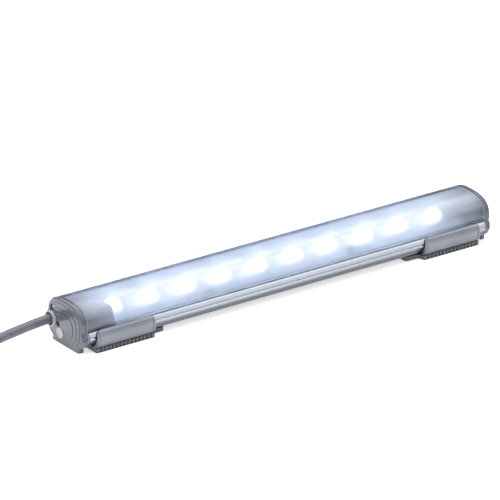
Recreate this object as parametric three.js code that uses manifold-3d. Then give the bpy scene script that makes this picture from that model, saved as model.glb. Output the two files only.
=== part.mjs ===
// LED strip batten: a sealed machine light on an aluminium rail, held by two sliding clips.
// Millimetres. X runs along the lamp from the cable end (-X) to the far end (+X), Z is up.
// The lamp stands on z = 0 with its middle over the origin.

import * as THREE from 'three';
import { mergeVertices } from 'three/addons/utils/BufferGeometryUtils.js';
import Module from 'manifold-3d';

const wasm = await Module();
wasm.setup();

// ---------------------------------------------------------------- driving dimensions

const SIDE_PLANE = 148.8;         // outer plane of an end cap's collar, from the middle
const TERRACE_STEP = 0.4;         // height of each raised step on an end face
const TERRACE_COUNT = 3;
const COLLAR_INNER = 145.1;       // inner plane of an end cap's collar
const RAIL_HALF_LENGTH = 144.2;
const GASKET_INNER = 144.4;
const GASKET_OUTER = 144.9;
const SPIGOT_END = 138.0;         // how far in an end cap's spigot reaches
const POCKET_OUTER = 146.8;       // bottom of the pocket inside an end cap

const FOOT_HALF = 14.05;
const RIDGE_HALF = 19.7;
const GROOVE_HALF = 19.15;
const SEAM_HALF = 18.0;
const SEAM_Z = 13.6;
const RAIL_BOTTOM = 2.85;
const DOME_HALF = 18.9;
const DOME_Z = 15.5;              // height of the dome's widest line
const DOME_TOP = 28.7;
const DOME_POWER = 2.7;           // 2 is an ellipse, more is squarer
const COVER_WALL = 1.8;
const GAP = 0.3;

const WEB_BOTTOM = 9.4;
const WEB_TOP = 10.9;
const BOARD_BOTTOM = 11.0;
const BOARD_TOP = 12.6;
const BOARD_HALF_WIDTH = 15.4;
const BOARD_HALF_LENGTH = 137.4;

const LED_COUNT = 10;
const LED_PITCH = 26.0;
const LED_ROW_MIDDLE = 2.0;       // the row sits away from the terminal hood
const LENS_RADIUS = 6.0;
const LENS_HEIGHT = 10.2;
const CHIP_SIZE = 3.5;
const CHIP_HEIGHT = 0.7;

const CABLE_RADIUS = 3.0;
const GLAND_X = -11.7;            // across the end face, from its middle
const GLAND_Z = 14.3;
const GLAND_FRONT = 152.3;
const GLAND_BORE = 4.7;
const SEAL_FRONT = 151.5;
const VENT_X = -3.4;
const VENT_Z = 7.8;
const VENT_RADIUS = 3.4;
const HEAD_SEAT = 147.4;          // bottom of the screws' recesses in an end face
const CAP_SCREWS = [
  { x: -12.3, z: 20.6, recess: 2.1, head: 1.7 },
  { x: -5.5, z: 12.75, recess: 1.7, head: 1.15 },
];

const CLIP_CENTRE = 118.95;
const CLIP_HALF_LENGTH = 20.5;
const CLIP_TAB_END = 30.9;        // from the clip's middle
const CLIP_TAB_HALF = 14.8;
const CLIP_PLATE_HALF = 19.6;
const CLIP_PLATE_TOP = 2.5;
const CLIP_TOP = 14.9;
const CLIP_CORNER = 4.5;

const HANK_X = -235.0;            // middle of the hank's round end nearest the lamp
const HANK_Y = -12.35;
const HANK_RUN = 60.0;            // between the middles of its two round ends
const HANK_RADIUS = 21.0;         // to the middle of the band of turns
const HANK_BAND = 6.3;            // half the width of that band
const HANK_TOP = 13.0;

// ---------------------------------------------------------------- materials

function material(color, roughness, metalness, opacity = 1) {
  return new THREE.MeshStandardMaterial({ color, roughness, metalness, opacity, transparent: opacity < 1 });
}

const anodised = material(0xb4b8bd, 0.35, 1.0);
const frosted = material(0xd6def0, 0.25, 0.0, 0.45);
const smoky = material(0x85868e, 0.3, 0.0);
const clipPlastic = material(0x8b9099, 0.25, 0.0);
const rubber = material(0x18191b, 0.7, 0.0);
const whiteMask = material(0xf2f5f7, 0.5, 0.0);
const lensPlastic = material(0xf6faff, 0.1, 0.0, 0.7);
const phosphor = material(0xf3e9a0, 0.6, 0.0);
const blockPlastic = material(0x9a9ca3, 0.5, 0.0);
const lightGrey = material(0xb9bbbd, 0.4, 0.0);
const steel = material(0xc9cccf, 0.25, 1.0);
const blackPlastic = material(0x202226, 0.5, 0.0);
const cablePvc = material(0x9a99a2, 0.5, 0.0);
const brownPvc = material(0x6b4226, 0.5, 0.0);
const bluePvc = material(0x2f5f9e, 0.5, 0.0);
const brassPlate = material(0xc9a94c, 0.3, 1.0);

// ---------------------------------------------------------------- solids from three.js geometry

function signedVolume(positions, indices) {
  let total = 0;
  const a = new THREE.Vector3();
  const b = new THREE.Vector3();
  const c = new THREE.Vector3();
  for (let i = 0; i < indices.length; i += 3) {
    a.fromArray(positions, 3 * indices[i]);
    b.fromArray(positions, 3 * indices[i + 1]);
    c.fromArray(positions, 3 * indices[i + 2]);
    total += a.dot(b.cross(c));
  }
  return total / 6;
}

// A closed geometry becomes a solid: shared vertices merged, thin leftovers dropped, faces turned out.
function solid(geometry) {
  geometry.deleteAttribute('normal');
  geometry.deleteAttribute('uv');
  const merged = mergeVertices(geometry, 1e-4);
  const vertProperties = new Float32Array(merged.attributes.position.array);
  const kept = [];
  const index = merged.index.array;
  for (let i = 0; i < index.length; i += 3) {
    const [a, b, c] = [index[i], index[i + 1], index[i + 2]];
    if (a !== b && b !== c && c !== a) kept.push(a, b, c);
  }
  if (signedVolume(vertProperties, kept) < 0) {
    for (let i = 0; i < kept.length; i += 3) [kept[i], kept[i + 1]] = [kept[i + 1], kept[i]];
  }
  const triVerts = new Uint32Array(kept);
  return new wasm.Manifold(new wasm.Mesh({ numProp: 3, vertProperties, triVerts }));
}

function meshOf(name, shape, look) {
  const made = shape.getMesh();
  const geometry = new THREE.BufferGeometry();
  geometry.setAttribute('position', new THREE.BufferAttribute(new Float32Array(made.vertProperties), 3));
  geometry.setIndex(new THREE.BufferAttribute(new Uint32Array(made.triVerts), 1));
  geometry.computeVertexNormals();
  const mesh = new THREE.Mesh(geometry, look);
  mesh.name = name;
  return mesh;
}

function extrude(shape, from, to, curveSegments = 8) {
  const options = { depth: to - from, bevelEnabled: false, curveSegments };
  const geometry = new THREE.ExtrudeGeometry(shape, options);
  geometry.translate(0, 0, from);
  return solid(geometry);
}

function box(low, high) {
  const size = low.map((value, i) => high[i] - value);
  const geometry = new THREE.BoxGeometry(...size);
  geometry.translate(...low.map((value, i) => (value + high[i]) / 2));
  return solid(geometry);
}

// A turned piece around local Z: profile points are [radius, height].
function turned(profile, x = 0, y = 0, segments = 24) {
  const geometry = new THREE.LatheGeometry(profile.map(([r, h]) => new THREE.Vector2(r, h)), segments);
  geometry.rotateX(Math.PI / 2);
  geometry.translate(x, y, 0);
  return solid(geometry);
}

function cylinder(radius, from, to, x = 0, y = 0, segments = 24) {
  return turned([[0, from], [radius, from], [radius, to], [0, to]], x, y, segments);
}

function tube(inner, outer, from, to, x = 0, y = 0, segments = 24) {
  return turned([[inner, from], [outer, from], [outer, to], [inner, to], [inner, from]], x, y, segments);
}

function polygon(points) {
  return new THREE.Shape(points.map(([x, y]) => new THREE.Vector2(x, y)));
}

// The right-hand half of a symmetric outline, bottom first, becomes the whole outline.
function mirrored(half) {
  const left = half.filter(([x]) => x > 0).map(([x, y]) => [-x, y]).reverse();
  return [...half, ...left];
}

function circleShape(radius, sides) {
  const points = [];
  for (let i = 0; i < sides; i += 1) {
    const angle = (2 * Math.PI * i) / sides;
    points.push([radius * Math.cos(angle), radius * Math.sin(angle)]);
  }
  return polygon(points);
}

function cord(points, radius, steps, sides) {
  const path = new THREE.CatmullRomCurve3(points.map((p) => new THREE.Vector3(...p)));
  const options = { steps, extrudePath: path, bevelEnabled: false };
  return solid(new THREE.ExtrudeGeometry(circleShape(radius, sides), options));
}

// ---------------------------------------------------------------- the lamp's cross-section

// Half of the dome from its widest line to its top, inset all round.
function domeHalf(inset, steps = 16) {
  const points = [];
  for (let i = 0; i <= steps; i += 1) {
    const angle = (0.5 * Math.PI * i) / steps;
    const y = (DOME_HALF - inset) * Math.cos(angle) ** (2 / DOME_POWER);
    const z = DOME_Z + (DOME_TOP - DOME_Z - inset) * Math.sin(angle) ** (2 / DOME_POWER);
    points.push([i === steps ? 0 : y, z]);
  }
  return points;
}

// Two rounded ridges with a groove between them, from the slanted underside up to the seam.
function ledgeHalf(inset) {
  return [
    [15.6 - inset, 3.6 + inset],
    [17.4 - inset, 5.0 + inset],
    [19.0 - inset, 7.9],
    [RIDGE_HALF - inset, 8.9],
    [RIDGE_HALF - inset, 9.7],
    [GROOVE_HALF - inset, 10.2],
    [RIDGE_HALF - inset, 10.7],
    [RIDGE_HALF - inset, 11.5],
    [19.1 - inset, 12.5],
    [SEAM_HALF - inset, SEAM_Z],
  ];
}

// Whole outline of an end cap: foot, ledge and dome.
function capPoints(inset, bottom) {
  const foot = [[0, bottom], [FOOT_HALF - inset, bottom], [FOOT_HALF - inset, 3.1 + inset]];
  return mirrored([...foot, ...ledgeHalf(inset), ...domeHalf(inset)]);
}

// ---------------------------------------------------------------- rail, cover and light engine

// Shapes drawn as (across, up) and extruded are laid along the lamp.
function alongLamp(mesh) {
  const basis = new THREE.Matrix4().makeBasis(
    new THREE.Vector3(0, 1, 0),
    new THREE.Vector3(0, 0, 1),
    new THREE.Vector3(1, 0, 0),
  );
  mesh.applyMatrix4(basis);
  return mesh;
}

const BOARD_SCREW_X = [-131.0, 131.0];
const BOARD_SCREW_HOLE = 1.3;

function buildRail() {
  const wall = 17.3;
  const outer = [
    [0, RAIL_BOTTOM],
    [FOOT_HALF, RAIL_BOTTOM],
    ...ledgeHalf(0),
    [wall, SEAM_Z],
    [wall, WEB_TOP],
    [0, WEB_TOP],
  ];
  const shape = polygon(mirrored(outer));
  const chamber = [[0, 4.4], [13.2, 4.4], [15.6, 6.2], [16.9, 8.4], [16.9, WEB_BOTTOM], [0, WEB_BOTTOM]];
  shape.holes.push(new THREE.Path(mirrored(chamber).map(([x, y]) => new THREE.Vector2(x, y))));
  let rail = extrude(shape, -RAIL_HALF_LENGTH, RAIL_HALF_LENGTH);
  for (const x of BOARD_SCREW_X) {
    const low = [-BOARD_SCREW_HOLE, WEB_BOTTOM - 1, x - BOARD_SCREW_HOLE];
    const high = [BOARD_SCREW_HOLE, WEB_TOP + 1, x + BOARD_SCREW_HOLE];
    rail = rail.subtract(box(low, high));
  }
  return alongLamp(meshOf('rail', rail, anodised));
}

function buildCover() {
  const outer = [[SEAM_HALF, SEAM_Z + GAP], [18.7, 14.6], ...domeHalf(0)];
  const inner = domeHalf(COVER_WALL).reverse();
  const lip = [[15.9, 14.6], [15.9, 12.9], [17.0, 12.9], [17.0, SEAM_Z + GAP]];
  const right = [...outer, ...inner, ...lip];
  const top = outer.length - 1;
  const leftOuter = outer.slice(0, top).map(([y, z]) => [-y, z]).reverse();
  const leftInner = [...inner.slice(1), ...lip].map(([y, z]) => [-y, z]).reverse();
  const whole = [...right.slice(0, top + 1), ...leftOuter, ...leftInner, ...inner, ...lip];
  const cover = extrude(polygon(whole), -RAIL_HALF_LENGTH, RAIL_HALF_LENGTH);
  return alongLamp(meshOf('diffuser_cover', cover, frosted));
}

function buildBoard() {
  let board = box(
    [-BOARD_HALF_LENGTH, -BOARD_HALF_WIDTH, BOARD_BOTTOM],
    [BOARD_HALF_LENGTH, BOARD_HALF_WIDTH, BOARD_TOP],
  );
  for (const x of BOARD_SCREW_X) {
    board = board.subtract(cylinder(BOARD_SCREW_HOLE, BOARD_BOTTOM - 1, BOARD_TOP + 1, x, 0, 12));
  }
  return meshOf('led_board', board, whiteMask);
}

function buildBoardScrew(name, x) {
  const profile = [[0, WEB_BOTTOM - 1.4], [0.9, WEB_BOTTOM - 1.4], [0.9, BOARD_TOP + 0.1],
    [2.6, BOARD_TOP + 0.1],
    [2.4, BOARD_TOP + 1.0], [1.4, BOARD_TOP + 1.6], [0, BOARD_TOP + 1.7]];
  return meshOf(name, turned(profile, x, 0, 12), steel);
}

function buildChip(name, x) {
  const half = CHIP_SIZE / 2;
  const chip = box([x - half, -half, BOARD_TOP], [x + half, half, BOARD_TOP + CHIP_HEIGHT]);
  return meshOf(name, chip, phosphor);
}

function buildLens(name, x) {
  const foot = BOARD_TOP + 0.1;
  const profile = [[0, foot + 1.4], [3.2, foot + 1.4], [3.2, foot], [LENS_RADIUS, foot]];
  const steps = 5;
  for (let i = 1; i <= steps; i += 1) {
    const angle = (0.5 * Math.PI * i) / steps;
    const radius = i === steps ? 0 : LENS_RADIUS * Math.cos(angle);
    profile.push([radius, foot + 1.0 + (LENS_HEIGHT - 1.0) * Math.sin(angle)]);
  }
  return meshOf(name, turned(profile, x, 0, 16), lensPlastic);
}

function buildResistor(name, x) {
  const part = box([x - 1.6, 8.0, BOARD_TOP], [x + 1.6, 9.6, BOARD_TOP + 0.6]);
  return meshOf(name, part, blackPlastic);
}

function buildDriverChip(name, x) {
  const part = box([x - 2.5, -9.5, BOARD_TOP], [x + 2.5, -5.5, BOARD_TOP + 1.2]);
  return meshOf(name, part, blackPlastic);
}

// ---------------------------------------------------------------- wiring inside the cable end

const TERMINAL_X = [-135.0, -127.0];
const TERMINAL_HOLE_Z = 15.6;
const TERMINAL_HOLES_Y = [5.2, 8.8];
const TERMINAL_HOLE_HALF = 1.2;
const HOOD_X = [-137.4, -123.4];

function buildTerminalBlock() {
  let block = box([TERMINAL_X[0], 3.2, BOARD_TOP], [TERMINAL_X[1], 10.8, BOARD_TOP + 6.2]);
  for (const y of TERMINAL_HOLES_Y) {
    const low = [TERMINAL_X[0] - 1, y - TERMINAL_HOLE_HALF, TERMINAL_HOLE_Z - TERMINAL_HOLE_HALF];
    const high = [TERMINAL_X[0] + 4, y + TERMINAL_HOLE_HALF, TERMINAL_HOLE_Z + TERMINAL_HOLE_HALF];
    block = block.subtract(box(low, high));
  }
  return meshOf('terminal_block', block, blackPlastic);
}

const HOOD_STEP_X = -129.6;

// The opaque hood over the terminals: open below and toward the end cap. Its front half reaches
// further along the board than its back half.
function buildTerminalHood() {
  const foot = BOARD_TOP + 0.3;
  const front = [[-15.0, foot], [0.5, foot], [0.5, 24.8], [-11.0, 24.3], [-13.4, 21.6], [-14.4, 17.5]];
  const whole = [[-15.0, foot], [15.0, foot], [14.4, 17.5], [13.4, 21.0], [10.4, 24.0], [0.5, 24.8],
    [-11.0, 24.3], [-13.4, 21.6], [-14.4, 17.5]];
  const low = [[-1.0, foot], [15.0, foot], [14.4, 17.5], [12.4, 20.6], [-1.0, 20.9]];
  const hollow = [[-13.6, foot - 1], [13.6, foot - 1], [12.8, 17.5], [11.2, 19.5], [-11.2, 19.5],
    [-12.8, 17.5]];
  let hood = extrude(polygon(whole), HOOD_X[0], HOOD_STEP_X);
  hood = hood.add(extrude(polygon(front), HOOD_STEP_X - 0.5, HOOD_X[1]));
  hood = hood.add(extrude(polygon(low), HOOD_STEP_X - 0.5, HOOD_X[1] - 1.6));
  hood = hood.subtract(extrude(polygon(hollow), HOOD_X[0] - 1, HOOD_X[1] - 2.8));
  return alongLamp(meshOf('terminal_hood', hood, blockPlastic));
}

function buildLead(name, startY, holeY, look) {
  const points = [
    [-140.2, startY, GLAND_Z + 0.3],
    [-138.6, startY, GLAND_Z + 0.6],
    [-136.8, (startY + holeY) / 2, TERMINAL_HOLE_Z],
    [-134.6, holeY, TERMINAL_HOLE_Z],
    [-131.6, holeY, TERMINAL_HOLE_Z],
  ];
  return meshOf(name, cord(points, 0.7, 12, 8), look);
}

// ---------------------------------------------------------------- end caps

// Local frame of an end group: X across the face, Y up, Z outward along the lamp.
function endGroup(sign) {
  const group = new THREE.Group();
  const basis = new THREE.Matrix4().makeBasis(
    new THREE.Vector3(0, sign, 0),
    new THREE.Vector3(0, 0, 1),
    new THREE.Vector3(sign, 0, 0),
  );
  group.applyMatrix4(basis);
  return group;
}

const EDGE_ROUND = 1.5;
const COLLAR_GROOVES = [145.8, 146.7];
const GROOVE_WIDTH = 0.4;
const GROOVE_DEPTH = 0.25;

// A solid through rings of equal point counts: each ring is a list of [x, y] at one height.
function loft(rings) {
  const count = rings[0].points.length;
  const positions = [];
  for (const ring of rings) {
    for (const [x, y] of ring.points) positions.push(x, y, ring.height);
  }
  const index = [];
  for (let level = 0; level < rings.length - 1; level += 1) {
    for (let i = 0; i < count; i += 1) {
      const a = level * count + i;
      const b = level * count + ((i + 1) % count);
      index.push(a, b, b + count, a, b + count, a + count);
    }
  }
  const flat = rings[0].points.map(([x, y]) => new THREE.Vector2(x, y));
  const last = (rings.length - 1) * count;
  for (const [a, b, c] of THREE.ShapeUtils.triangulateShape(flat, [])) {
    index.push(c, b, a, last + a, last + b, last + c);
  }
  const geometry = new THREE.BufferGeometry();
  geometry.setAttribute('position', new THREE.Float32BufferAttribute(positions, 3));
  geometry.setIndex(index);
  return solid(geometry);
}

// The collar, rounded where it meets the end face, with fine grooves round it.
function capShell() {
  const below = -6;
  const rings = [{ points: capPoints(0, below), height: COLLAR_INNER }];
  const steps = 3;
  for (let i = 0; i <= steps; i += 1) {
    const angle = (0.5 * Math.PI * i) / steps;
    const inset = EDGE_ROUND * (1 - Math.cos(angle));
    const height = SIDE_PLANE - EDGE_ROUND * (1 - Math.sin(angle));
    rings.push({ points: capPoints(inset, below), height });
  }
  let shell = loft(rings).subtract(box([-30, -20, 120], [30, 0, 160]));
  for (const at of COLLAR_GROOVES) {
    const around = box([-30, 5, at], [30, 40, at + GROOVE_WIDTH]);
    const core = extrude(polygon(capPoints(GROOVE_DEPTH, -1)), at - 1, at + GROOVE_WIDTH + 1);
    shell = shell.subtract(around.subtract(core));
  }
  return shell;
}

// Stepped, nearly concentric raised fields on the end face.
function terraces() {
  let steps = null;
  for (let i = 0; i < TERRACE_COUNT; i += 1) {
    const inset = 2.9 + 2.7 * i;
    const height = SIDE_PLANE + TERRACE_STEP * (i + 1);
    const corner = [[0, 3.4 + inset / 3], [15.6 - inset, 3.4 + inset / 3], [18.2 - inset, 9.0]];
    const half = [...corner, ...domeHalf(inset)];
    let field = extrude(polygon(mirrored(half)), SIDE_PLANE - 1.0, height);
    field = field.translate(-0.5 * i, -0.4 * i, 0);
    steps = steps ? steps.add(field) : field;
  }
  return steps;
}

function spigotOutline(inset) {
  const corner = [[0, 15.2 + inset], [15.2 - inset, 15.2 + inset]];
  const dome = domeHalf(2.5 + inset).filter(([, z]) => z > 16.4);
  return polygon(mirrored([...corner, ...dome]));
}

function buildCap(name, withGland) {
  let cap = capShell().add(terraces());
  cap = cap.add(extrude(spigotOutline(0), SPIGOT_END, COLLAR_INNER + 1));
  cap = cap.subtract(extrude(spigotOutline(1.5), SPIGOT_END - 1, POCKET_OUTER));
  if (withGland) {
    cap = cap.add(cylinder(6.4, SIDE_PLANE - 1, 149.9, GLAND_X, GLAND_Z, 32));
    cap = cap.subtract(cylinder(GLAND_BORE, 146.7, 155, GLAND_X, GLAND_Z, 32));
    cap = cap.subtract(cylinder(3.4, SPIGOT_END - 1, 147, GLAND_X, GLAND_Z));
  }
  cap = cap.subtract(cylinder(VENT_RADIUS + 0.35, 147.6, 155, VENT_X, VENT_Z, 28));
  for (const screw of CAP_SCREWS) {
    cap = cap.subtract(cylinder(screw.recess, HEAD_SEAT, 155, screw.x, screw.z, 20));
    cap = cap.subtract(cylinder(1.3, 144.6, HEAD_SEAT + 1, screw.x, screw.z, 12));
  }
  return meshOf(name, cap, smoky);
}

function buildGasket(name) {
  const bottom = 3.2;
  const foot = [[0, bottom], [FOOT_HALF - 0.4, bottom]];
  const outline = polygon(mirrored([...foot, ...ledgeHalf(0.4), ...domeHalf(0.4)]));
  let gasket = extrude(outline, GASKET_INNER, GASKET_OUTER);
  const hole = extrude(spigotOutline(-0.35), GASKET_INNER - 1, GASKET_OUTER + 1);
  const wiringOutline = polygon(mirrored([[0, 11.0], [15.2, 11.0], [15.2, 16.0], [0, 16.0]]));
  const wiring = extrude(wiringOutline, GASKET_INNER - 1, GASKET_OUTER + 1);
  gasket = gasket.subtract(hole).subtract(wiring);
  return meshOf(name, gasket, rubber);
}

function buildCapScrew(name, screw) {
  const seat = HEAD_SEAT + 0.2;
  const profile = [[0, 144.9], [1.0, 144.9], [1.0, seat], [screw.head, seat], [screw.head, seat + 0.9],
    [screw.head * 0.6, seat + 1.3], [0, seat + 1.4]];
  return meshOf(name, turned(profile, screw.x, screw.z, 16), steel);
}

function buildVentPlug(name) {
  const seat = 147.9;
  const rim = 150.6;
  const profile = [[0, seat], [VENT_RADIUS, seat], [VENT_RADIUS, rim - 0.5], [VENT_RADIUS - 0.4, rim],
    [VENT_RADIUS - 0.9, rim], [VENT_RADIUS - 1.2, rim - 0.35], [0, rim - 0.35]];
  return meshOf(name, turned(profile, VENT_X, VENT_Z, 28), lightGrey);
}

function buildGlandBody() {
  const inner = 3.95;
  const profile = [[inner, 147.0], [4.4, 147.0], [4.4, 150.2], [4.75, 150.2], [4.75, GLAND_FRONT - 0.5],
    [4.45, GLAND_FRONT], [inner + 0.15, GLAND_FRONT], [inner, GLAND_FRONT - 0.2], [inner, 147.0]];
  return meshOf('gland_body', turned(profile, GLAND_X, GLAND_Z, 32), lightGrey);
}

function buildGlandSeal() {
  return meshOf('gland_seal', tube(3.15, 3.7, 147.2, SEAL_FRONT, GLAND_X, GLAND_Z, 28), rubber);
}

function buildInnerCable() {
  return meshOf('cable_inner', cylinder(CABLE_RADIUS, 140.5, SEAL_FRONT, GLAND_X, GLAND_Z, 20), cablePvc);
}

function buildEnd(sign, label, withGland) {
  const group = endGroup(sign);
  group.add(buildCap(`end_cap_${label}`, withGland));
  group.add(buildGasket(`gasket_${label}`));
  group.add(buildVentPlug(`vent_plug_${label}`));
  CAP_SCREWS.forEach((screw, i) => group.add(buildCapScrew(`cap_screw_${label}_${i + 1}`, screw)));
  if (withGland) group.add(buildGlandBody(), buildGlandSeal(), buildInnerCable());
  return group;
}

// ---------------------------------------------------------------- sliding clips

function clipSection() {
  const half = [
    [0, 0],
    [CLIP_PLATE_HALF, 0],
    [CLIP_PLATE_HALF, 2.7],
    [18.6, 2.9],
    [18.6, 3.8],
    [20.4, 4.1],
    [20.9, 6.5],
    [21.1, 9.5],
    [20.9, 12.5],
    [20.4, 14.5],
    [20.0, CLIP_TOP],
    [19.4, CLIP_TOP],
    [19.1, 14.3],
    [19.0, 13.4],
    [20.1, 11.7],
    [20.1, 8.9],
    [19.4, 7.8],
    [17.8, 4.7],
    [15.9, 3.2],
    [14.0, CLIP_PLATE_TOP],
    [0, CLIP_PLATE_TOP],
  ];
  return polygon(mirrored(half));
}

// Side view of the hooks, with rounded upper corners.
function clipSide() {
  const side = new THREE.Shape();
  const end = CLIP_HALF_LENGTH;
  side.moveTo(-end, -1);
  side.lineTo(end, -1);
  side.lineTo(end, CLIP_TOP - CLIP_CORNER);
  side.quadraticCurveTo(end, CLIP_TOP, end - CLIP_CORNER, CLIP_TOP + 0.1);
  side.lineTo(-end + CLIP_CORNER, CLIP_TOP + 0.1);
  side.quadraticCurveTo(-end, CLIP_TOP, -end, CLIP_TOP - CLIP_CORNER);
  side.closePath();
  return side;
}

// Plan of the mounting tab, drawn toward +X, with a slot for a screw.
function clipTab() {
  const start = CLIP_HALF_LENGTH - 2;
  const flare = 2.2;
  const corner = 2.5;
  const tab = new THREE.Shape();
  tab.moveTo(start, -CLIP_PLATE_HALF + 1);
  tab.lineTo(CLIP_HALF_LENGTH, -CLIP_PLATE_HALF + 1);
  tab.quadraticCurveTo(CLIP_HALF_LENGTH + 0.3, -CLIP_TAB_HALF, CLIP_HALF_LENGTH + flare, -CLIP_TAB_HALF);
  tab.lineTo(CLIP_TAB_END - corner, -CLIP_TAB_HALF);
  tab.quadraticCurveTo(CLIP_TAB_END, -CLIP_TAB_HALF, CLIP_TAB_END, -CLIP_TAB_HALF + corner);
  tab.lineTo(CLIP_TAB_END, CLIP_TAB_HALF - corner);
  tab.quadraticCurveTo(CLIP_TAB_END, CLIP_TAB_HALF, CLIP_TAB_END - corner, CLIP_TAB_HALF);
  tab.lineTo(CLIP_HALF_LENGTH + flare, CLIP_TAB_HALF);
  tab.quadraticCurveTo(CLIP_HALF_LENGTH + 0.3, CLIP_TAB_HALF, CLIP_HALF_LENGTH, CLIP_PLATE_HALF - 1);
  tab.lineTo(start, CLIP_PLATE_HALF - 1);
  tab.closePath();
  const slot = new THREE.Path();
  const slotX = CLIP_HALF_LENGTH + 5.2;
  slot.absarc(slotX, 4, 2.25, 0, Math.PI, false);
  slot.absarc(slotX, -4, 2.25, Math.PI, 2 * Math.PI, false);
  slot.closePath();
  tab.holes.push(slot);
  return tab;
}

function buildClip(name, x, turn) {
  const along = new THREE.Matrix4().makeBasis(
    new THREE.Vector3(0, 1, 0),
    new THREE.Vector3(0, 0, 1),
    new THREE.Vector3(1, 0, 0),
  );
  const bodyOptions = { depth: 2 * CLIP_HALF_LENGTH, bevelEnabled: false };
  const bodyGeometry = new THREE.ExtrudeGeometry(clipSection(), bodyOptions);
  bodyGeometry.translate(0, 0, -CLIP_HALF_LENGTH);
  bodyGeometry.applyMatrix4(along);
  const sideOptions = { depth: 60, bevelEnabled: false, curveSegments: 6 };
  const sideGeometry = new THREE.ExtrudeGeometry(clipSide(), sideOptions);
  sideGeometry.translate(0, 0, -30);
  sideGeometry.rotateX(Math.PI / 2);
  let clip = solid(bodyGeometry).intersect(solid(sideGeometry));
  clip = clip.add(extrude(clipTab(), 0, CLIP_PLATE_TOP, 5));
  const teeth = 14;
  const pitch = (2 * CLIP_HALF_LENGTH - 3) / teeth;
  for (let i = 0; i < teeth; i += 1) {
    const at = -CLIP_HALF_LENGTH + 1.5 + pitch * (i + 0.5);
    for (const side of [-1, 1]) {
      const edges = [side * (CLIP_PLATE_HALF - 0.7), side * (CLIP_PLATE_HALF + 1)].sort((a, b) => a - b);
      clip = clip.subtract(box([at - 0.6, edges[0], 0.5], [at + 0.6, edges[1], 3.1]));
    }
  }
  const mesh = meshOf(name, clip, clipPlastic);
  mesh.position.set(x, 0, 0);
  mesh.rotation.z = turn;
  return mesh;
}

// ---------------------------------------------------------------- supply cable and its plug

// From the gland down to the hank. Points are chosen by hand.
const CABLE_RUN = [
  [-151.8, 11.7, GLAND_Z],
  [-162.0, 11.7, 13.6],
  [-173.4, 11.7, 12.3],
  [-185.0, 11.7, 10.8],
  [-196.0, 11.7, 8.6],
  [-206.0, 11.7, 6.0],
  [-215.8, 11.7, 4.0],
];

const PLUG_START = [-263.0, HANK_Y, 7.3];

// From the hank's inner turn to the plug inside it. Points are chosen by hand.
const CABLE_TAIL = [
  [-280.4, -23.2, 4.6],
  [-279.0, -21.3, 5.1],
  [-276.3, -17.8, 6.0],
  [-272.4, -14.9, 6.7],
  [-267.9, -12.9, 7.2],
  [-265.5, -12.42, 7.28],
  [-263.3, HANK_Y, 7.3],
];

// Outline of a long loop with round ends, at one distance from its middle line.
function loopOutline(kind, radius) {
  const outline = new kind();
  outline.absarc(HANK_X, HANK_Y, radius, -Math.PI / 2, Math.PI / 2, false);
  outline.absarc(HANK_X - HANK_RUN, HANK_Y, radius, Math.PI / 2, 1.5 * Math.PI, false);
  outline.closePath();
  return outline;
}

// The band that the cable's turns fill.
function buildHank() {
  const shape = loopOutline(THREE.Shape, HANK_RADIUS + HANK_BAND);
  shape.holes.push(loopOutline(THREE.Path, HANK_RADIUS - HANK_BAND));
  return meshOf('cable_hank', extrude(shape, 0.1, HANK_TOP), cablePvc);
}

// The plug lies along +X; its pieces are turned about that line.
function plugGroup() {
  const group = new THREE.Group();
  const basis = new THREE.Matrix4().makeBasis(
    new THREE.Vector3(0, 1, 0),
    new THREE.Vector3(0, 0, 1),
    new THREE.Vector3(1, 0, 0),
  );
  basis.setPosition(...PLUG_START);
  group.applyMatrix4(basis);
  return group;
}

function buildPlug() {
  const group = plugGroup();
  const grip = [[0, 0], [4.0, 0], [4.6, 6], [6.6, 10], [6.6, 24], [5.6, 25.5], [5.6, 40], [4.2, 40],
    [4.2, 36.0], [0, 36.0]];
  const nut = [[5.9, 26.2], [7.0, 26.2], [7.2, 27], [7.2, 38.5], [6.6, 39.4], [5.9, 39.4], [5.9, 26.2]];
  group.add(meshOf('plug_body', turned(grip, 0, 0, 24), blackPlastic));
  group.add(meshOf('plug_nut', turned(nut, 0, 0, 24), brassPlate));
  const pinPlaces = [[1.8, 0], [0, 1.8], [-1.8, 0], [0, -1.8]];
  pinPlaces.forEach(([x, y], i) => {
    group.add(meshOf(`plug_pin_${i + 1}`, cylinder(0.5, 36.1, 39.6, x, y, 10), brassPlate));
  });
  return group;
}

// ---------------------------------------------------------------- assembly

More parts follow.
